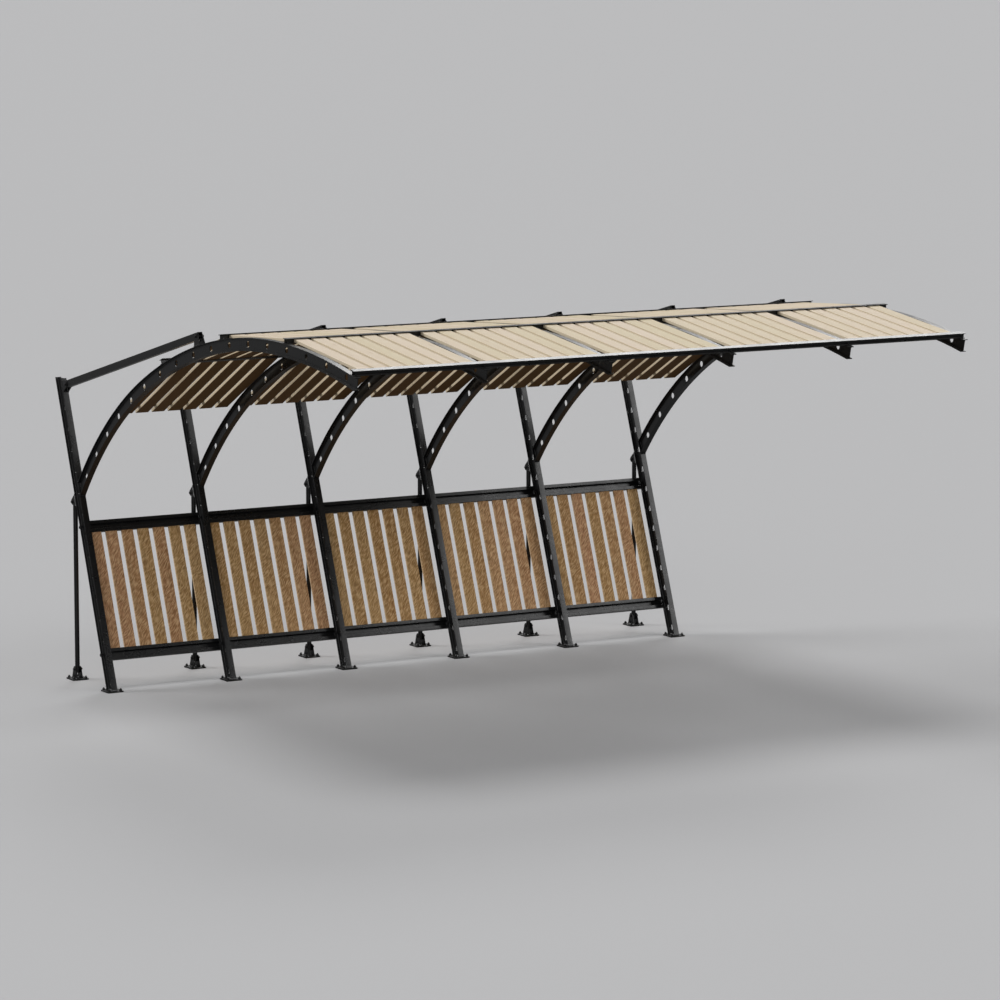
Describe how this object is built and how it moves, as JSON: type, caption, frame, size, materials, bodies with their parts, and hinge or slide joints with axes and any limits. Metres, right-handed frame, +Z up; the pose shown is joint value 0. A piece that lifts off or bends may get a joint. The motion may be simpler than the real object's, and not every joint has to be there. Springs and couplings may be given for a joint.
{
  "type": "slatted steel and timber pergola",
  "caption": "Slatted cantilever pergola of curved perforated steel ribs on leaning posts, with timber roof and back boards.",
  "frame": {"origin": "middle of the underside of the first post's base plate, on the ground", "axes": "+X along the row of frames, +Y to the rear, where the props stand, +Z up"},
  "size_m": [5.133, 4.8267, 2.9301],
  "materials": {
    "black_steel": "satin",
    "roof_boards": "matte",
    "back_boards": "matte"
  },
  "bodies": {
    "root": {"post_1": "black_steel", "post_2": "black_steel", "post_3": "black_steel", "post_4": "black_steel", "post_5": "black_steel", "post_6": "black_steel", "rib_1": "black_steel", "rib_2": "black_steel", "rib_3": "black_steel", "rib_4": "black_steel", "rib_5": "black_steel", "rib_6": "black_steel", "tie_bar_1": "black_steel", "tie_bar_2": "black_steel", "tie_bar_3": "black_steel", "tie_bar_4": "black_steel", "tie_bar_5": "black_steel", "tie_bar_6": "black_steel", "prop_1": "black_steel", "prop_2": "black_steel", "prop_3": "black_steel", "prop_4": "black_steel", "prop_5": "black_steel", "prop_6": "black_steel", "prop_feet": "black_steel", "pins": "black_steel", "purlin_1": "black_steel", "purlin_2": "black_steel", "purlin_3": "black_steel", "purlin_4": "black_steel", "lower_rails": "black_steel", "upper_rails": "black_steel", "back_panel_1": "back_boards", "back_panel_2": "back_boards", "back_panel_3": "back_boards", "back_panel_4": "back_boards", "back_panel_5": "back_boards", "roof_front": "roof_boards", "roof_crown": "roof_boards", "roof_back": "roof_boards", "roof_tail": "roof_boards", "tail_battens": "black_steel"}
  },
  "joints": []
}
